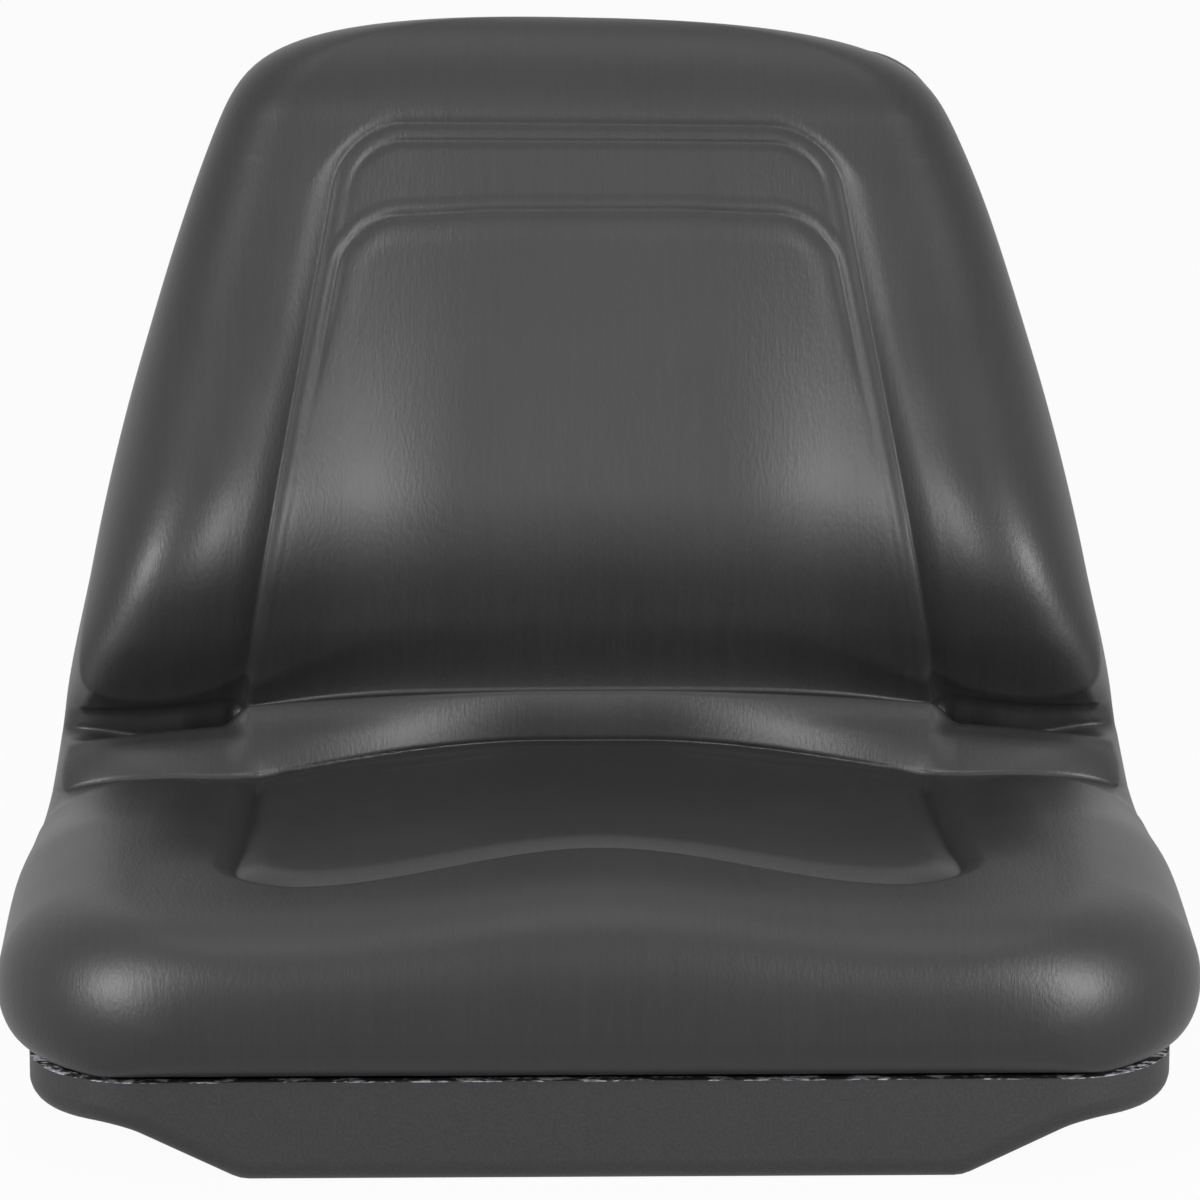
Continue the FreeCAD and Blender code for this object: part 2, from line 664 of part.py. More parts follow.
def build_cushion():
    """The moulded cushion: a free-form body over the rim and a block that fills the pan."""
    wires = []
    for i, poles in enumerate(Cushion().sections()):
        curve = Part.BSplineCurve()
        knots = len(poles) + 1
        curve.buildFromPolesMultsKnots(poles, [1] * knots, [float(k) for k in range(knots)], True, 3)
        wires.append(doc.addObject("Part::Feature", "cushion_section_%02d" % i))
        wires[-1].Shape = Part.Wire([curve.toShape()])
    free_form = doc.addObject("Part::Loft", "cushion_free_form")
    free_form.Sections = wires
    free_form.Solid = True
    free_form.Ruled = True

    gap = "(rim_wall + bend_clearance)"
    half = "pan_half_width - " + gap
    section = both_sides([(half, FOAM_FLOOR), (half, "rim_height + rim_gap + cushion_overhang")])
    filled = swept_form("filling", section, gap)
    whole = boolean("Part::Fuse", "cushion_block", free_form, filled)
    pockets = []
    half_wide = size("clip_barb_width / 2 + clip_clearance")
    half_thick = size("clip_stem_thickness / 2 + clip_clearance")
    for i, place in enumerate(pan_places()[1]):
        pocket = add("Part::Box", "clip_pocket_%d" % i, Length="clip_barb_width + 2 * clip_clearance",
                     Width="clip_stem_thickness + 2 * clip_clearance", Height="clip_length + clip_clearance")
        pocket.Placement = place.multiply(Placement(Vector(-half_wide, -half_thick, size("shelf_height")),
                                                    Rotation()))
        pockets.append(pocket)
    return boolean("Part::Cut", "cushion", whole, fuse("clip_pockets", pockets))


def main():
    nodes = [build_cushion(), build_pan(), build_nuts(), build_clips(), build_plug()]
    doc.recompute()
    os.makedirs("parts", exist_ok=True)
    for item in doc.Objects:
        bad = [state for state in item.State if state in ("Invalid", "Error")]
        if bad:
            raise SystemExit("%s is %s" % (item.Label, bad))
    for node in nodes:
        shape = node.Shape
        if shape.isNull() or not shape.isValid():
            raise SystemExit("%s has no valid shape" % node.Label)
        print(node.Label, len(shape.Solids), "solids", round(shape.Volume / 1000.0, 1), "cm3",
              [round(v, 1) for v in (shape.BoundBox.XMin, shape.BoundBox.XMax, shape.BoundBox.YMin,
                                     shape.BoundBox.YMax, shape.BoundBox.ZMin, shape.BoundBox.ZMax)])
        shape.exportStep("parts/%s.step" % node.Label)


main()
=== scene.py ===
"""Looks of the ride on mower seat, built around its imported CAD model.

The seat faces -Y. Sizes below are in millimetres, in the CAD model's frame; meshes are made in metres.
"""
import math

import bpy
import numpy as np
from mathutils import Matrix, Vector


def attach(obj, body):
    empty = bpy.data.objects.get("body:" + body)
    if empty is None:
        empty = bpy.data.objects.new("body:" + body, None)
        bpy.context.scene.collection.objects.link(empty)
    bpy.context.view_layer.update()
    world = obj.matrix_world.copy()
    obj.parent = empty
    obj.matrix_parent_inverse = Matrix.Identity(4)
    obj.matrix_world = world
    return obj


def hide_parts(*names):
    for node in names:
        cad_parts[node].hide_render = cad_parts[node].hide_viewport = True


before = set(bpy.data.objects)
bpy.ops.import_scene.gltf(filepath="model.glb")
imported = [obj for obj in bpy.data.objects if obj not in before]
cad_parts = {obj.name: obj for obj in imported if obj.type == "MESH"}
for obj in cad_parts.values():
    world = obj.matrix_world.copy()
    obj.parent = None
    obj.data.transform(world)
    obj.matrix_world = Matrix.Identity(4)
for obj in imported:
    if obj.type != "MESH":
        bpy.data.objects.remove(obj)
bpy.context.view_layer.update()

MM = 0.001

# The pan that the cushion follows: flat base, round bend, leaning back.
BASE_FRONT = 168.0
BASE_REAR = 128.0
BEND_RADIUS = 125.0
BEND_ANGLE = math.radians(78.0)
RIM_TOP = 44.0
BACK_RIM_TAPER = 16.0 / 285.0

# Stations along the cushion's path, from the pan's front wall to the top of the back.
PATH_START = -14.0
SEAT_END = BASE_FRONT + BASE_REAR
BEND_END = SEAT_END + BEND_RADIUS * BEND_ANGLE
BACK_LENGTH = 298.0
PATH_TOP = BEND_END + BACK_LENGTH
BAND_LOW = SEAT_END + 0.63 * (BEND_END - SEAT_END)
BAND_HIGH = BEND_END + 0.5
BAND_FACE = 34.5
BAND_STEP = 26.0
CREASE_TUCK = 8.5
BOLSTER_FOOT = 8.0

# The cushion's outline and its depths above the pan's outer face.
SEAT_HALF_WIDTH = 247.5
BACK_FOOT_HALF_WIDTH = 232.0
BACK_TOP_HALF_WIDTH = 144.0
FRONT_CORNER = 75.0
UNDERSIDE = RIM_TOP + 3.0
POMMEL = 123.0
SEAT_REAR = 97.0
LUMBAR = 91.0
BACK_TOP = 72.0
SEAT_BOLSTER = 110.0
SEAT_WRAP = 60.0
BACK_WRAP = 55.0
BOLSTER_SLOPE = 0.36
SEAT_EDGE_ROLL = 54.0
UNDER_ROLL = 12.0
TOP_SAG = 0.024
TOP_DROP = 1.5
FRONT_ROLL = 60.0
FRONT_FULLNESS = 3.2
TOP_ROLL = 44.0
BULGE = 21.0

# The moulded lines: seat panel, back panel and the main pad inside it.
SEAT_PANEL_REAR = 146.0
SEAT_PANEL_FRONT = 152.0
BACK_PANEL_FOOT = 154.3
BACK_PANEL_TOP = 112.5
BACK_PANEL_HEIGHT = 249.0
PAD_HEIGHT = 210.0
PAD_INSET = 9.0
BEAD_WIDTH = 8.0

# The camera that fits the photograph: a long lens, a little above the seat.
CAMERA_TARGET = (0.0, 60.0, 186.0)
CAMERA_DISTANCE = 3300.0
CAMERA_ELEVATION = 15.0
CAMERA_YAW = 0.9
CAMERA_LENS = 231.0
CAMERA_SHIFT = (0.0058, -0.0033)

# The studio: two soft boxes beside the camera and a wide one overhead, in metres and watts.
BOX_SIZE = (0.3, 0.4)
BOX_WATTS = 2.5
BOX_SPREAD = 75.0
TOP_SIZE = (1.3, 1.4)
TOP_WATTS = 10.4
SURROUND = 0.38
FLOOR_SHADE = 0.5
SHADOW_SHARE = 0.05


def smooth(low, high, at):
    """0 below low, 1 above high, smooth between."""
    t = np.clip((at - low) / (high - low), 0.0, 1.0)
    return t * t * (3 - 2 * t)


def quarter(at, reach):
    """Height of a quarter round of that reach."""
    t = np.clip(at / reach, 0.0, 1.0)
    return np.sqrt(1 - (1 - t) ** 2)


def full_round(at, reach):
    """Height of a round of that reach that is fuller than a quarter circle."""
    t = np.clip(at / reach, 0.0, 1.0)
    return (1 - (1 - t) ** FRONT_FULLNESS) ** (1 / FRONT_FULLNESS)


def ridge(distance, half_width):
    """1 on a line, falling smoothly to 0 at half_width from it."""
    t = np.clip(np.abs(distance) / half_width, 0.0, 1.0)
    return (1 - t * t) ** 2


def crisp(distance, half_width):
    """1 on a line, with a sharp peak, falling to 0 at half_width from it."""
    return (1 - np.clip(np.abs(distance) / half_width, 0.0, 1.0)) ** 2


def through(pairs, at):
    """A smooth curve through (place, value) pairs."""
    xs = np.array([p[0] for p in pairs])
    ys = np.array([p[1] for p in pairs])
    slopes = np.empty_like(ys)
    slopes[1:-1] = (ys[2:] - ys[:-2]) / (xs[2:] - xs[:-2])
    slopes[0] = (ys[1] - ys[0]) / (xs[1] - xs[0])
    slopes[-1] = (ys[-1] - ys[-2]) / (xs[-1] - xs[-2])
    at = np.clip(at, xs[0], xs[-1])
    i = np.clip(np.searchsorted(xs, at, side="right") - 1, 0, len(xs) - 2)
    w = xs[i + 1] - xs[i]
    t = (at - xs[i]) / w
    return (ys[i] * (1 + 2 * t) * (1 - t) ** 2 + slopes[i] * w * t * (1 - t) ** 2
            + ys[i + 1] * t * t * (3 - 2 * t) - slopes[i + 1] * w * t * t * (1 - t))


def along_back(s):
    return s - BEND_END


def half_width(s):
    """Half width of the cushion's outline at a station."""
    taper = through([(0.2 * SEAT_END, SEAT_HALF_WIDTH), (0.65 * SEAT_END, SEAT_HALF_WIDTH - 1),
                     (SEAT_END, SEAT_HALF_WIDTH - 5.5), (BEND_END, BACK_FOOT_HALF_WIDTH)], s)
    corner = FRONT_CORNER * (1 - quarter(s - PATH_START, FRONT_CORNER))
    share = np.clip(along_back(s) / BACK_LENGTH, 0.0, 1.0)
    narrowing = BACK_FOOT_HALF_WIDTH - BACK_TOP_HALF_WIDTH
    side = BACK_FOOT_HALF_WIDTH - narrowing * (0.42 * share + 0.58 * share ** 2)
    side = side - 2.4 * smooth(0.0, 0.2, share) * (1 - 0.7 * smooth(0.5, 0.8, share))
    u = np.clip((share - 0.755) / 0.245, 0.0, 1.0)
    return np.where(s <= BEND_END, taper - corner, side * (1 - u ** 6) ** 0.4)


def middle_depth(s):
    """Depth along the middle: pommel, seat, crease, band, lumbar swell, top roll."""
    bend = BEND_END - SEAT_END
    return through([
        (PATH_START, POMMEL - 3), (0.25 * SEAT_END, POMMEL), (0.37 * SEAT_END, POMMEL - 3),
        (0.57 * SEAT_END, SEAT_REAR + 12), (0.77 * SEAT_END, SEAT_REAR + 4), (SEAT_END, SEAT_REAR),
        (SEAT_END + 0.33 * bend, SEAT_REAR - 5), (SEAT_END + 0.66 * bend, SEAT_REAR - 22),
        (SEAT_END + 0.82 * bend, SEAT_REAR - 21), (BEND_END, SEAT_REAR - 33),
        (BEND_END + 0.1 * BACK_LENGTH, LUMBAR - 13), (BEND_END + 0.2 * BACK_LENGTH, LUMBAR - 3),
        (BEND_END + 0.3 * BACK_LENGTH, LUMBAR), (BEND_END + 0.5 * BACK_LENGTH, LUMBAR - 6),
        (BEND_END + 0.72 * BACK_LENGTH, BACK_TOP + 5), (BEND_END + 0.9 * BACK_LENGTH, BACK_TOP + 1),
        (PATH_TOP, BACK_TOP)], s)


def panel_half_width(s):
    """Half width of the middle panel between the bolsters."""
    share = along_back(s) / BACK_LENGTH
    on_seat = SEAT_PANEL_FRONT + (SEAT_PANEL_REAR - SEAT_PANEL_FRONT) * np.clip(s / SEAT_END, 0, 1)
    over_bend = SEAT_PANEL_REAR + (BACK_PANEL_FOOT - SEAT_PANEL_REAR) * smooth(SEAT_END, BEND_END, s)
    on_back = BACK_PANEL_FOOT - (BACK_PANEL_FOOT - BACK_PANEL_TOP) * share / 0.75
    return np.where(s <= SEAT_END, on_seat, np.where(share <= 0, over_bend, on_back))


def on_bolster(x, s):
    """0 on the middle panel and 1 on the bolsters beside it."""
    panel = panel_half_width(s)
    return smooth(panel - 5, panel + 9, np.abs(x))


def band_top(x, s):
    """Station of the band's upper edge, which steps down where it passes from the pad to the bolsters."""
    return BAND_HIGH - BAND_STEP * on_bolster(x, s)


def wrap(x, s):
    """How far the sides come forward of the middle, at the bend into the back and on the bolsters."""
    x = np.abs(x)
    on_seat = through([(0.3 * SEAT_END, 0.0), (0.85 * SEAT_END, 0.85), (SEAT_END, 1.0), (BEND_END, 1.0)], s)
    horseshoe = through([(0.0, 0.0), (36.0, 0.02), (72.0, 0.2), (109.0, 0.45), (156.0, 0.85), (185.0, 0.95),
                         (215.0, 1.0), (250.0, 1.02)], x)
    on_back = through([(SEAT_END, 0.72), (BEND_END, 0.72), (BEND_END + 60, 0.46), (BEND_END + 120, 0.2),
                       (PATH_TOP - 40, 0.1), (PATH_TOP, 0.05)], s)
    high = band_top(x, s)
    low = BAND_LOW - 18.0
    past = np.clip((s - low) / (high - low), 0.0, 1.0)
    seat = SEAT_WRAP * on_seat * horseshoe
    back = BACK_WRAP * on_back * np.minimum(1.2, x / 205.0) ** 2.2
    return seat * (1 - past) + back * past


def off_outline(x, s):
    """1 on the sitting face, falling to 0 where its sides roll off."""
    wide = half_width(s)
    return 1 - smooth(wide - 44.0, wide - 8.0, np.abs(x))


def tuck(x, s):
    """How far the crease above the band sinks behind it."""
    over = s - band_top(x, s)
    sunk = CREASE_TUCK * smooth(-9.0, 1.0, over) * crisp(np.maximum(over - 1.0, 0.0), 34.0)
    return sunk * off_outline(x, s)


def bolster_rise(x, s):
    """Height of the back's bolsters: a slope over the panel's edge that rounds into a crest."""
    beside = np.abs(x) - panel_half_width(s)
    crest_at = bolster_crest(s)
    foot, straight = -84.0, -26.0
    turn = 0.5 * crest_at

    def climb(a, b, at):
        """Rise of a slope that grows evenly from none at a to full at b."""
        t = np.clip(at - a, 0, b - a)
        return t * t / (2 * (b - a)) + np.maximum(at - b, 0)

    rise = climb(foot, straight, beside) - climb(turn, crest_at, beside)
    return BOLSTER_SLOPE * rise


def bolster_crest(s):
    """How far the crest of the back's bolster lies outside the panel."""
    return 0.425 * np.maximum(20.0, half_width(np.minimum(s, PATH_TOP - 66)) - panel_half_width(s))


def edge_roll(s):
    """Width of the roll from the crest of the bolsters to the outline."""
    on_back = half_width(s) - panel_half_width(s) - bolster_crest(s)
    on_back = np.clip(on_back, 0.2 * half_width(s), 44.0)
    back = smooth(0.8 * SEAT_END, BEND_END, s)
    return np.minimum(SEAT_EDGE_ROLL * (1 - back) + on_back * back, 0.36 * half_width(s))


def round_corner(a, b, radius):
    """Distance inside the corner of two edges, from the distances inside each, with the corner rounded."""
    inside = radius - np.hypot(np.maximum(radius - a, 0), np.maximum(radius - b, 0))
    return np.where((a < radius) & (b < radius), inside, np.minimum(a, b))


def inside_back_panel(x, s):
    """Distance inside the moulded line round the back panel."""
    lean = math.atan((BACK_PANEL_FOOT - BACK_PANEL_TOP) / (0.75 * BACK_LENGTH))
    side = (panel_half_width(np.maximum(s, BEND_END)) - np.abs(x)) * math.cos(lean)
    top = BACK_PANEL_HEIGHT - along_back(s)
    return round_corner(side, top, 27.0)


def inside_main_pad(x, s):
    """Distance inside the line round the main pad of the back panel."""
    t = along_back(s)
    inset = PAD_INSET * smooth(35.0, 120.0, t)
    side = panel_half_width(np.maximum(s, BEND_END)) - inset - np.abs(x)
    top = PAD_HEIGHT - 6.0 * smooth(0.0, -75.0, x) - 1.5 * smooth(40.0, 80.0, x) - t
    return round_corner(side, top, 24.0)


def inside_seat_panel(x, s):
    """Distance inside the moulded line round the seat panel."""
    side = panel_half_width(np.minimum(s, SEAT_END)) - np.abs(x)
    front = 73.0 - 16.0 * np.sin(np.clip(np.abs(x) / 118.0, 0, 1) * math.pi / 2) ** 2
    return round_corner(side, s - front, 30.0)


def sitting_depth(x, s):
    """Depth of the sitting face, before its edges roll off."""
    x = np.abs(x)
    middle = middle_depth(s)
    panel = panel_half_width(s)
    on_seat = 1 - smooth(0.8 * SEAT_END, BEND_END, s)
    valley = 11.0 * smooth(0, 0.85, x / panel) * (1 - 0.6 * smooth(0.35 * SEAT_END, 0.8 * SEAT_END, s))
    crest = SEAT_BOLSTER - 8 * smooth(0.6 * SEAT_END, SEAT_END, s) - 10 * smooth(SEAT_END, BAND_LOW, s)
    outside = smooth(panel - 6, panel + 40, x)
    seat = (middle - valley) * (1 - outside) + crest * outside
    rise = through([(SEAT_END, 0.1), (BEND_END - 50, 0.02), (BEND_END - 30, 0.02), (BEND_END + 44, 0.97),
                    (BEND_END + 86, 1.0), (BEND_END + 128, 0.78), (BEND_END + 170, 0.5),
                    (BEND_END + 235, 0.3), (PATH_TOP, 0.2)], s)
    return seat * on_seat + (middle + rise * bolster_rise(x, s)) * (1 - on_seat)


def back_lines(x, s):
    """Lines of the back panel: the step down from the bolsters, a bead along its top and the main pad."""
    here = smooth(-2.0, 14.0, s - band_top(x, s))
    t = along_back(s)
    panel = inside_back_panel(x, s)
    pad = inside_main_pad(x, s)
    near_top = smooth(216.0, 242.0, t)
    step = through([(0.0, 4.0), (110.0, 4.2), (170.0, 3.4), (220.0, 2.6), (250.0, 1.4)], t)
    reach = 12.0 - 6.0 * near_top
    lip = through([(0.0, 3.4), (60.0, 2.8), (110.0, 1.9), (170.0, 1.3), (250.0, 1.1)], t)
    lip_width = 7.0 - 3.0 * smooth(60.0, 160.0, t)
    change = step * (1 - crisp(np.minimum(panel, 0.0), reach))
    change -= lip * crisp(np.maximum(panel, 0.0), lip_width)
    change += 2.0 * ridge(panel, 6.0) * ridge(t - 2.0, 14.0)
    change -= (0.2 + 0.9 * near_top) * crisp(panel - BEAD_WIDTH, 3.6)
    change -= 0.3 * near_top * crisp(panel - 4.0, 1.4)
    on_pad = smooth(120.0, 180.0, t)
    change -= on_pad * (0.9 * crisp(pad, 3.2) - 0.45 * ridge(pad - 6.0, 7.0) - 0.35 * ridge(pad + 4.5, 3.5))
    fork = t - PAD_HEIGHT - 1.5 - 5.0 * smooth(-40.0, 12.0, x)
    change -= 0.9 * crisp(fork, 3.2) * smooth(8.0, -30.0, x) * smooth(2.0, 10.0, panel)
    return change * here


def seat_lines(x, s):
    """The groove round the seat panel, whose pad rolls down into it."""
    here = smooth(28.0, 44.0, s) * (1 - smooth(SEAT_END + 30, BAND_LOW, s))
    bench = inside_seat_panel(x, s)
    return -5.6 * np.where(bench < 0, crisp(bench, 10.0), crisp(bench, 15.0)) * here


def band_lines(x, s):
    """The band between seat and back: an upright face over the seat that rolls back under the pad."""
    high = band_top(x, s)
    share = np.clip((s - BAND_LOW) / (high - BAND_LOW), 0.0, 1.0)
    angle = np.clip((s - SEAT_END) / BEND_RADIUS, 0.2, BEND_ANGLE)
    reach = BAND_FACE - 6.5 * smooth(60.0, 156.0, np.abs(x))
    upright = BEND_RADIUS - reach / np.sin(angle)
    rolled = -3.5 * share ** 2 - 7.0 * (1 - quarter(1 - share, 0.28))
    proud = upright - middle_depth(s)
    crack = 1.6 * crisp(proud, 2.4) * (1 - smooth(BAND_LOW + 10, BAND_LOW + 25, s))
    over = s - high
    face = np.maximum(proud + rolled, 0.0) * (1 - smooth(-7.0, 1.0, over)) - crack
    foot = BOLSTER_FOOT * on_bolster(x, s) * off_outline(x, s) * smooth(-5.0, 1.0, over)
    foot = foot * crisp(np.maximum(over - 1.0, 0.0), 38.0)
    return face * smooth(BAND_LOW - 30, BAND_LOW - 16, s) - foot


def moulded_lines(x, s):
    """Small change of depth at the grooves, the creases and the band."""
    return back_lines(x, s) + seat_lines(x, s) + band_lines(x, s)


def on_path(s, x, depth, forward, sunk):
    """Points at stations along the path, across it and in depth, moved forward and down."""
    angle = np.clip((s - SEAT_END) / BEND_RADIUS, 0.0, BEND_ANGLE)
    past = np.maximum(0.0, s - BEND_END)
    arm = BEND_RADIUS - depth
    y = np.minimum(s, SEAT_END) - BASE_FRONT + arm * np.sin(angle) + past * math.cos(BEND_ANGLE)
    z = BEND_RADIUS - arm * np.cos(angle) + past * math.sin(BEND_ANGLE)
    return np.stack([x + 0 * y, y - forward, z - sunk], axis=-1)


def spaced(low, high, fine, coarse, lines, reach):
    """Places from low to high, fine within reach of the given lines and coarse elsewhere."""
    places = [low]
    while places[-1] < high:
        near = min(abs(places[-1] - line) for line in lines)
        places.append(places[-1] + fine + (coarse - fine) * smooth(reach, 2 * reach, near))
    places[-1] = high
    return np.array(places, float)


def cushion_stations():
    """Stations of the cushion's rings, closer together at its rolled ends and at moulded lines."""
    front = PATH_START + 30.0 * (1 - np.cos(np.linspace(0.05, 1.0, 22) * math.pi / 2))
    rear = PATH_TOP - 24.0 * (1 - np.cos(np.linspace(1.0, 0.04, 22) * math.pi / 2))
    lines = (65.0, BAND_LOW, BAND_HIGH - 4, BEND_END + PAD_HEIGHT - 5, BEND_END + BACK_PANEL_HEIGHT - 8)
    return np.concatenate([front[:-1], spaced(front[-1], rear[0], 1.1, 3.6, lines, 12.0), rear[1:]])


def top_columns(s, wide, edge):
    """Where the columns of the sitting face run, closer together beside the panel's line."""
    flat = wide - edge
    panel = np.minimum(panel_half_width(s), 0.86 * flat)
    inner = np.maximum(panel - 14.0, 0.3 * flat)
    outer = np.minimum(panel + 10.0, 0.95 * flat)
    runs = [(flat, outer, 14), (outer, inner, 26), (inner, 0 * flat, 34)]
    columns = [a + (b - a) * np.linspace(0, 1, n + 1)[None, :-1] for a, b, n in runs]
    return np.concatenate(columns + [0 * flat], axis=1)


def cushion_rings():
    """The cushion's points, ring by ring along the path."""
    s = cushion_stations()[:, None]
    wide = half_width(s)
    edge = edge_roll(s)
    under = np.minimum(UNDER_ROLL, wide * 0.2)
    floor = UNDERSIDE - BACK_RIM_TAPER * np.maximum(0.0, s - BEND_END)
    bulge = floor + BULGE - 7 * smooth(SEAT_END, BEND_END, s)
    roll = np.minimum(full_round(s - PATH_START, FRONT_ROLL), quarter(PATH_TOP - s, TOP_ROLL))
    drop = np.minimum(quarter(s - PATH_START, 14.0), quarter(PATH_TOP - s, 14.0))
    lower = bulge - (bulge - floor) * drop

    def upper(x):
        return bulge + (sitting_depth(x, s) + moulded_lines(x, s) - bulge) * roll

    flat = np.linspace(0.0, 1.0, 9)[None, :-1]
    below = np.radians(np.linspace(-90, 0, 13))[None, :-1]
    above = np.radians(np.linspace(0, 90, 31))[None, :-1]
    top = top_columns(s, wide, edge)
    rolled = wide - edge + edge * np.cos(above) ** 0.9
    crest = upper(wide - edge)
    xs = [flat * (wide - under), wide - under + under * np.cos(below), rolled, top]
    ds = [lower + 0 * flat, bulge + (bulge - lower) * np.sin(below),
          bulge + (crest - bulge) * np.sin(above) ** 0.94, upper(top)]
    x = np.concatenate(xs, axis=1)
    d = np.concatenate(ds, axis=1)
    x = np.concatenate([x, -x[:, -2:0:-1]], axis=1)
    d = np.concatenate([d, d[:, -2:0:-1]], axis=1)
    lifted = np.clip((d - floor) / 30.0, 0.0, 1.0)
    sag = (TOP_SAG * x + TOP_DROP) * smooth(BEND_END + 200, PATH_TOP, s)
    return on_path(s - sag, x, d, wrap(x, s) * lifted, tuck(x, s) * lifted)


def mesh_object(name, points, faces):
    mesh = bpy.data.meshes.new(name)
    mesh.from_pydata([tuple(p) for p in points], [], faces)
    mesh.validate()
    mesh.polygons.foreach_set("use_smooth", [True] * len(mesh.polygons))
    mesh.update()
    item = bpy.data.objects.new(name, mesh)
    bpy.context.scene.collection.objects.link(item)
    return item


def make_cushion(finish):
    """The formed cushion in one closed skin."""
    rings = cushion_rings() * MM
    count, around, _ = rings.shape
    points = rings.reshape(-1, 3)
    faces = []
    for i in range(count - 1):
        for j in range(around):
            k = (j + 1) % around
            faces.append((i * around + j, i * around + k, (i + 1) * around + k, (i + 1) * around + j))
    faces.append(tuple(reversed(range(around))))
    faces.append(tuple((count - 1) * around + j for j in range(around)))
    cushion = mesh_object("formed_cushion", points, faces)
    cushion.data.materials.append(finish)
    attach(cushion, "root")
    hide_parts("cushion")
    return cushion


class Socket:
    """A node's output that takes part in Python expressions."""

    def __init__(self, finish, output):
        self.finish = finish
        self.output = output

    def math(self, operation, other, swapped=False):
        first, second = (other, self) if swapped else (self, other)
        return self.finish.node("ShaderNodeMath", {"operation": operation}, {0: first, 1: second})

    def __add__(self, other):
        return self.math("ADD", other)

    def __sub__(self, other):
        return self.math("SUBTRACT", other)

    def __mul__(self, other):
        return self.math("MULTIPLY", other)

    def __rsub__(self, other):
        return self.math("SUBTRACT", other, swapped=True)

    __radd__ = __add__
    __rmul__ = __mul__


class Finish:
    """A material whose nodes are written as expressions."""

    def __init__(self, name):
        self.material = bpy.data.materials.new(name)
        self.material.use_nodes = True
        self.tree = self.material.node_tree
        self.shader = self.tree.nodes["Principled BSDF"]

    def node(self, kind, settings, sockets, output=0):
        made = self.tree.nodes.new(kind)
        for key, value in settings.items():
            setattr(made, key, value)
        for key, value in sockets.items():
            self.feed(made.inputs[key], value)
        return Socket(self, made.outputs[output])

    def feed(self, socket, value):
        if isinstance(value, Socket):
            self.tree.links.new(value.output, socket)
        else:
            socket.default_value = value

    def shade(self, **inputs):
        for key, value in inputs.items():
            self.feed(self.shader.inputs[key.replace("_", " ")], value)
        return self.material

    def place(self):
        """Where a point is on the object, in metres."""
        return self.node("ShaderNodeTexCoord", {}, {}, "Object")

    def axis(self, vector, index):
        return self.node("ShaderNodeSeparateXYZ", {}, {0: vector}, index)

    def stretched(self, vector, scale):
        return self.node("ShaderNodeVectorMath", {"operation": "MULTIPLY"}, {0: vector, 1: scale})

    def moved(self, vector, by, amount):
        """A vector pushed about by a colour noise."""
        push = self.node("ShaderNodeVectorMath", {"operation": "SCALE"}, {0: by, "Scale": amount})
        return self.node("ShaderNodeVectorMath", {"operation": "ADD"}, {0: vector, 1: push})

    def cloud(self, vector, scale, detail=2.0, rough=0.5, output=0):
        return self.node("ShaderNodeTexNoise", {}, {"Vector": vector, "Scale": scale, "Detail": detail,
                                                    "Roughness": rough}, output)

    def cells(self, vector, scale):
        return self.node("ShaderNodeTexVoronoi", {}, {"Vector": vector, "Scale": scale})

    def step(self, value, low, high):
        """0 below low and 1 above high, smooth between."""
        return self.node("ShaderNodeMapRange", {"interpolation_type": "SMOOTHSTEP"},
                         {"Value": value, "From Min": low, "From Max": high})

    def mix(self, share, first, second):
        return self.node("ShaderNodeMix", {"data_type": "RGBA"}, {0: share, 6: first, 7: second}, 2)

    def bump(self, height, strength, distance):
        return self.node("ShaderNodeBump", {},
                         {"Height": height, "Strength": strength, "Distance": distance})


def grey(level, blue=0.0):
    return (level, level, level * (1 + blue), 1.0)


def cushion_vinyl():
    """Black satin vinyl with a fine leather grain that runs along the seat."""
    finish = Finish("cushion_vinyl")
    place = finish.place()
    drawn = finish.stretched(place, (1.0, 0.42, 0.42))
    warp = finish.cloud(drawn, 240.0, 0.0, 0.5, "Color")
    grained = finish.moved(drawn, warp, 0.0022)
    pebbles = finish.cells(grained, 720.0)
    streaks = finish.cloud(finish.stretched(place, (1.0, 0.07, 0.07)), 420.0, 1.0, 0.6)
    fine = finish.cloud(place, 2000.0, 0.0)
    slow = finish.cloud(place, 22.0, 2.0, 0.55)
    grain = 0.35 * fine + 0.5 * streaks - 0.7 * pebbles
    worn = 0.4 * slow + 0.6 * finish.step(0.6 * fine + 0.4 * streaks, 0.36, 0.64)
    colour = finish.mix(worn, grey(0.010, 0.03), grey(0.0155, 0.03))
    rough = 0.39 + 0.06 * slow + 0.06 * fine
    return finish.shade(Base_Color=colour, Roughness=rough, Specular_IOR_Level=0.4,
                        Normal=finish.bump(grain, 0.23, 0.0004))


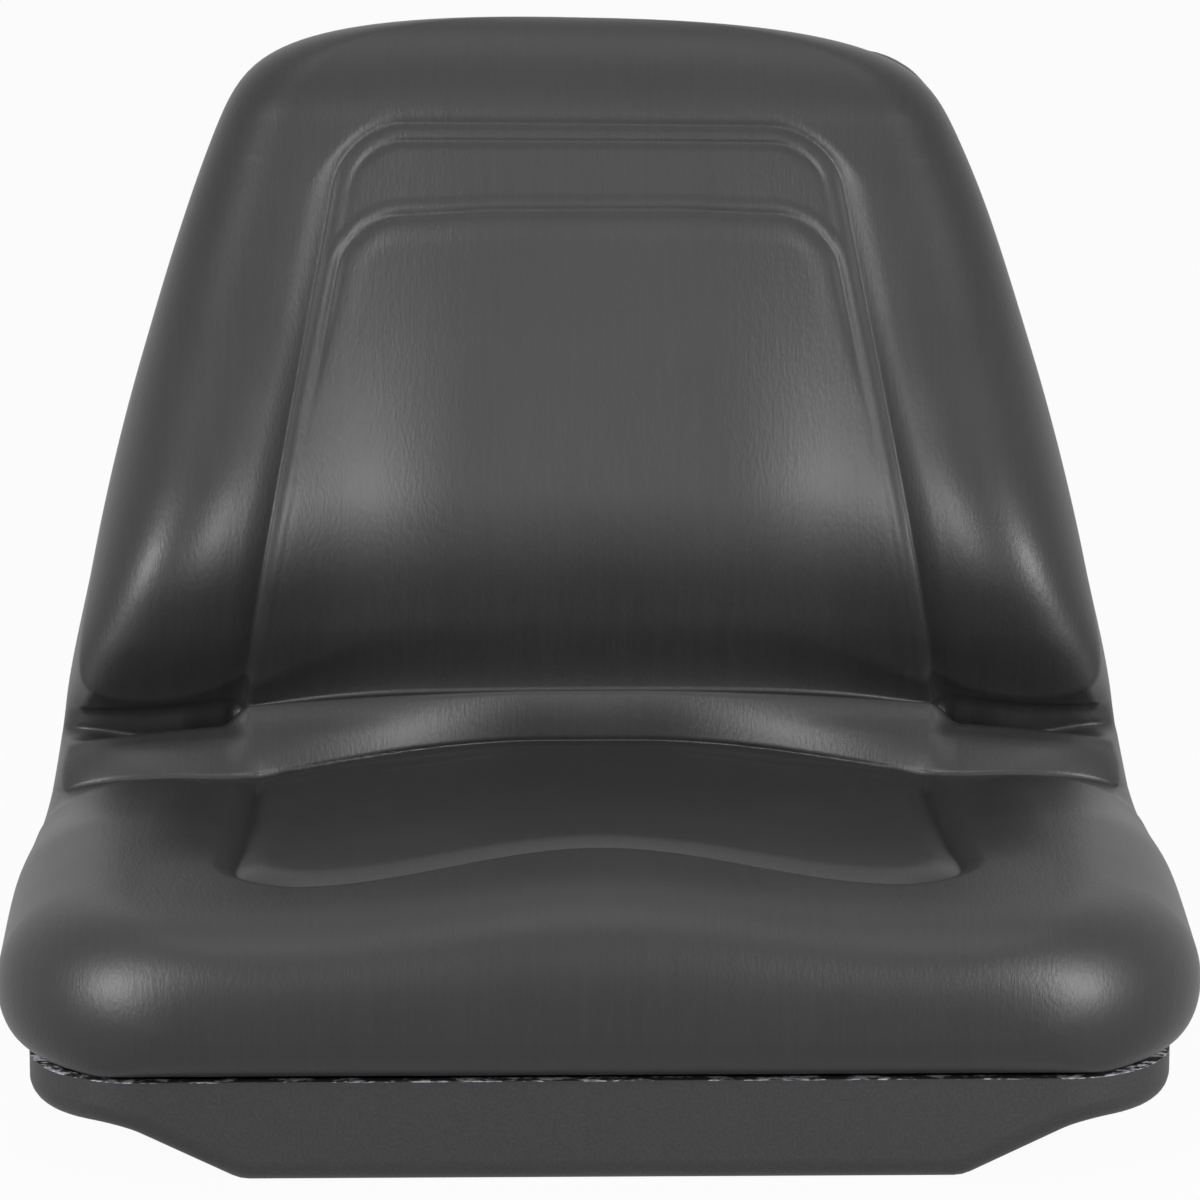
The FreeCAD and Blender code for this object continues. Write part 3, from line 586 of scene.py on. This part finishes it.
def pan_plastic():
    """Moulded plastic with a fine spark grain, and a painted highlight of broken glints along its rim."""
    finish = Finish("pan_plastic")
    place = finish.place()
    grain = finish.cloud(place, 900.0, 3.0, 0.65)
    slow = finish.cloud(place, 30.0, 3.0, 0.5)
    height = finish.axis(place, 2)
    # Noise that breaks the painted rim glints into short dashes.
    glint_breakup = finish.cloud(finish.stretched(place, (0.6, 1.0, 3.0)), 200.0, 3.0, 0.7)
    rim = finish.step(height, (RIM_TOP - 0.45) * MM, (RIM_TOP - 0.1) * MM)
    low_part = 1 - finish.step(height, (RIM_TOP + 0.5) * MM, (RIM_TOP + 1.5) * MM)
    before_bend = 1 - finish.step(finish.axis(place, 1), (BASE_REAR - 10) * MM, BASE_REAR * MM)
    # Painted highlight: broken near-white glints painted along the top edge of the pan's front rim,
    # standing in for light caught by its glossy lip.
    painted_rim_glints = rim * low_part * before_bend * finish.step(glint_breakup, 0.5, 0.62)
    body = finish.mix(finish.step(grain, 0.3, 0.75), grey(0.014), grey(0.024))
    colour = finish.mix(painted_rim_glints, body, grey(0.45, 0.08))
    rough = 0.52 + 0.14 * slow
    return finish.shade(Base_Color=colour, Roughness=rough, Specular_IOR_Level=0.4,
                        Normal=finish.bump(grain, 0.35, 0.0004))


def plated_steel():
    """Zinc plated nuts."""
    finish = Finish("nut_steel")
    spangle = finish.cells(finish.place(), 420.0)
    colour = finish.mix(spangle, (0.46, 0.46, 0.43, 1), (0.62, 0.62, 0.60, 1))
    return finish.shade(Base_Color=colour, Metallic=1.0, Roughness=0.28 + 0.14 * spangle)


def clip_nylon():
    """Smooth black nylon of the push-in clips."""
    finish = Finish("clip_plastic")
    cloud = finish.cloud(finish.place(), 180.0)
    colour = finish.mix(cloud, grey(0.03), grey(0.045))
    return finish.shade(Base_Color=colour, Roughness=0.34 + 0.1 * cloud)


def plug_rubber():
    """Matte rubber of the blanking plug."""
    finish = Finish("plug_rubber")
    dust = finish.cloud(finish.place(), 260.0, 4.0, 0.6)
    colour = finish.mix(dust, grey(0.018), grey(0.032))
    return finish.shade(Base_Color=colour, Roughness=0.72 + 0.12 * dust,
                        Normal=finish.bump(dust, 0.15, 0.0003))


def dress_node(name, finish):
    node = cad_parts[name]
    node.data.materials.clear()
    node.data.materials.append(finish)


def seen_directly(tree):
    """1 for rays from the camera, in a mirror or through glass, 0 for those that light the object."""
    path = tree.nodes.new("ShaderNodeLightPath")
    seen = path.outputs["Is Camera Ray"]
    for kind in ("Is Glossy Ray", "Is Transmission Ray"):
        either = tree.nodes.new("ShaderNodeMath")
        either.operation = "MAXIMUM"
        tree.links.new(seen, either.inputs[0])
        tree.links.new(path.outputs[kind], either.inputs[1])
        seen = either.outputs[0]
    return seen


def studio_white(name, share_lit):
    """Pale stage surface: white to the camera, with part of its lit shade kept for the shadow."""
    finish = Finish(name)
    finish.shade(Base_Color=grey(FLOOR_SHADE), Roughness=0.9, Specular_IOR_Level=0.1)
    tree = finish.tree
    glow = tree.nodes.new("ShaderNodeEmission")
    glow.inputs["Strength"].default_value = 1.0
    direct = Socket(finish, seen_directly(tree))
    mixed = tree.nodes.new("ShaderNodeMixShader")
    finish.feed(mixed.inputs[0], direct * (1 - share_lit))
    tree.links.new(finish.shader.outputs[0], mixed.inputs[1])
    tree.links.new(glow.outputs[0], mixed.inputs[2])
    tree.links.new(mixed.outputs[0], tree.nodes["Material Output"].inputs["Surface"])
    return finish.material


def make_floor():
    """A wide pale floor under the pan."""
    half = 6.0
    corners = [(-half, -half, 0), (half, -half, 0), (half, half, 0), (-half, half, 0)]
    floor = mesh_object("studio_floor", corners, [(0, 1, 2, 3)])
    floor.location.z = -0.0005
    floor.data.materials.append(studio_white("studio_floor", SHADOW_SHARE))


def soft_box(name, place, aim, size, watts, spread):
    lamp = bpy.data.lights.new(name, "AREA")
    lamp.shape = "RECTANGLE"
    lamp.size, lamp.size_y = size
    lamp.energy = watts
    lamp.spread = math.radians(spread)
    item = bpy.data.objects.new(name, lamp)
    item.location = place
    item.rotation_mode = "QUATERNION"
    item.rotation_quaternion = (Vector(aim) - Vector(place)).to_track_quat("-Z", "Y")
    bpy.context.scene.collection.objects.link(item)


def make_lights():
    """Two soft boxes beside the camera, a weak top light and a white surround."""
    soft_box("left_soft_box", (-0.75, -0.75, 0.52), (-0.15, 0.1, 0.24), BOX_SIZE, BOX_WATTS, BOX_SPREAD)
    soft_box("right_soft_box", (0.69, -0.78, 0.47), (0.15, 0.1, 0.24), BOX_SIZE, BOX_WATTS, BOX_SPREAD)
    soft_box("top_soft_box", (0.0, -0.1, 2.4), (0.0, 0.1, 0.2), TOP_SIZE, TOP_WATTS, 180.0)
    world = bpy.data.worlds.new("studio_surround")
    bpy.context.scene.world = world
    world.use_nodes = True
    tree = world.node_tree
    backdrop = tree.nodes["Background"]
    backdrop.inputs["Color"].default_value = (1, 1, 1, 1)
    backdrop.inputs["Strength"].default_value = SURROUND
    white = tree.nodes.new("ShaderNodeBackground")
    white.inputs["Color"].default_value = (1, 1, 1, 1)
    white.inputs["Strength"].default_value = 1.0
    mixed = tree.nodes.new("ShaderNodeMixShader")
    tree.links.new(seen_directly(tree), mixed.inputs[0])
    tree.links.new(backdrop.outputs[0], mixed.inputs[1])
    tree.links.new(white.outputs[0], mixed.inputs[2])
    tree.links.new(mixed.outputs[0], tree.nodes["World Output"].inputs["Surface"])


def make_camera():
    """The photograph's view: from the front, a little above."""
    elevation = math.radians(CAMERA_ELEVATION)
    yaw = math.radians(CAMERA_YAW)
    level = math.cos(elevation)
    ahead = Vector((math.sin(yaw) * level, math.cos(yaw) * level, -math.sin(elevation)))
    data = bpy.data.cameras.new("photo_camera")
    data.lens = CAMERA_LENS
    data.sensor_width = 36.0
    data.shift_x, data.shift_y = CAMERA_SHIFT
    data.clip_end = 50.0
    camera = bpy.data.objects.new("photo_camera", data)
    camera.location = (Vector(CAMERA_TARGET) - ahead * CAMERA_DISTANCE) * MM
    camera.rotation_mode = "QUATERNION"
    camera.rotation_quaternion = ahead.to_track_quat("-Z", "Y")
    bpy.context.scene.collection.objects.link(camera)
    bpy.context.scene.camera = camera


make_cushion(cushion_vinyl())
dress_node("seat_pan", pan_plastic())
dress_node("captive_nuts", plated_steel())
dress_node("cushion_clips", clip_nylon())
dress_node("switch_plug", plug_rubber())
make_floor()
make_lights()
make_camera()
bpy.context.scene.view_settings.view_transform = "Standard"
